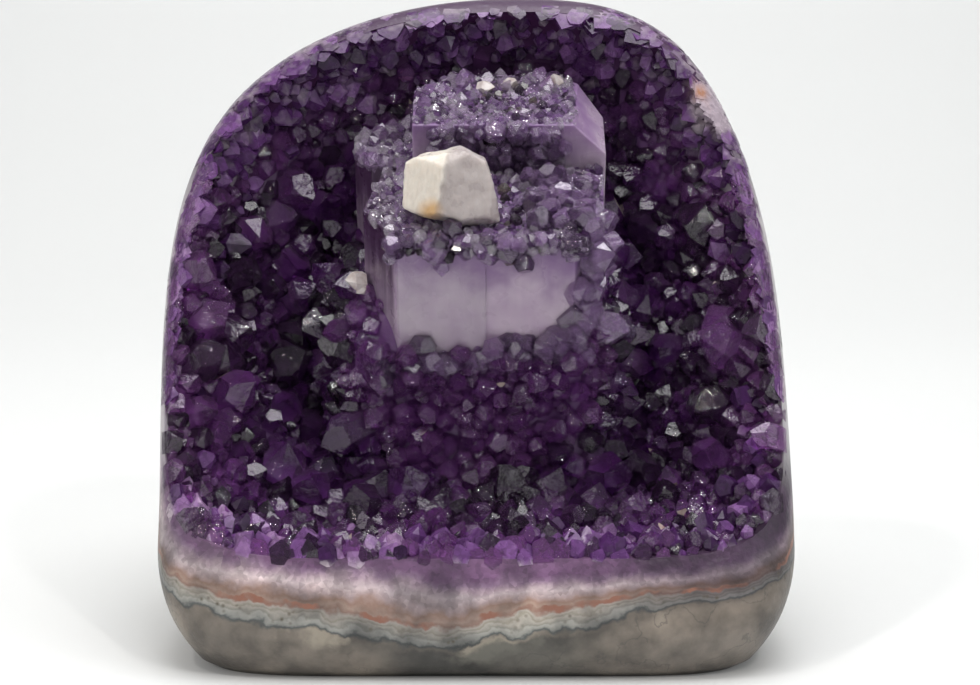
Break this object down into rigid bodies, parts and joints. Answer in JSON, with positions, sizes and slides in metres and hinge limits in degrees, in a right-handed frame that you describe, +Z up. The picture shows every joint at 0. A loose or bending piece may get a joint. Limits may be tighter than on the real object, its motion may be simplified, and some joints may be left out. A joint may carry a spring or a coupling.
{
  "type": "amethyst geode",
  "caption": "Cut-base amethyst geode: a polished rock shell whose hollow is lined with purple quartz crystals around a stand of pale prisms and a milky calcite.",
  "frame": {"origin": "on the flat cut base, below the middle of the open face, 50 mm behind the base's front edge", "axes": "+Z up out of the base, -Y the way the open face looks, +X to the right of someone who faces it"},
  "size_m": [0.1676, 0.1176, 0.1689],
  "materials": {
    "rock": "polished",
    "amethyst": "natural crystal faces",
    "pale_amethyst": "natural crystal faces",
    "calcite": "milky, worn"
  },
  "bodies": {
    "root": {"rock_shell": "rock", "amethyst_crust": "amethyst", "pale_prisms": "pale_amethyst", "white_calcite": "calcite"}
  },
  "joints": []
}
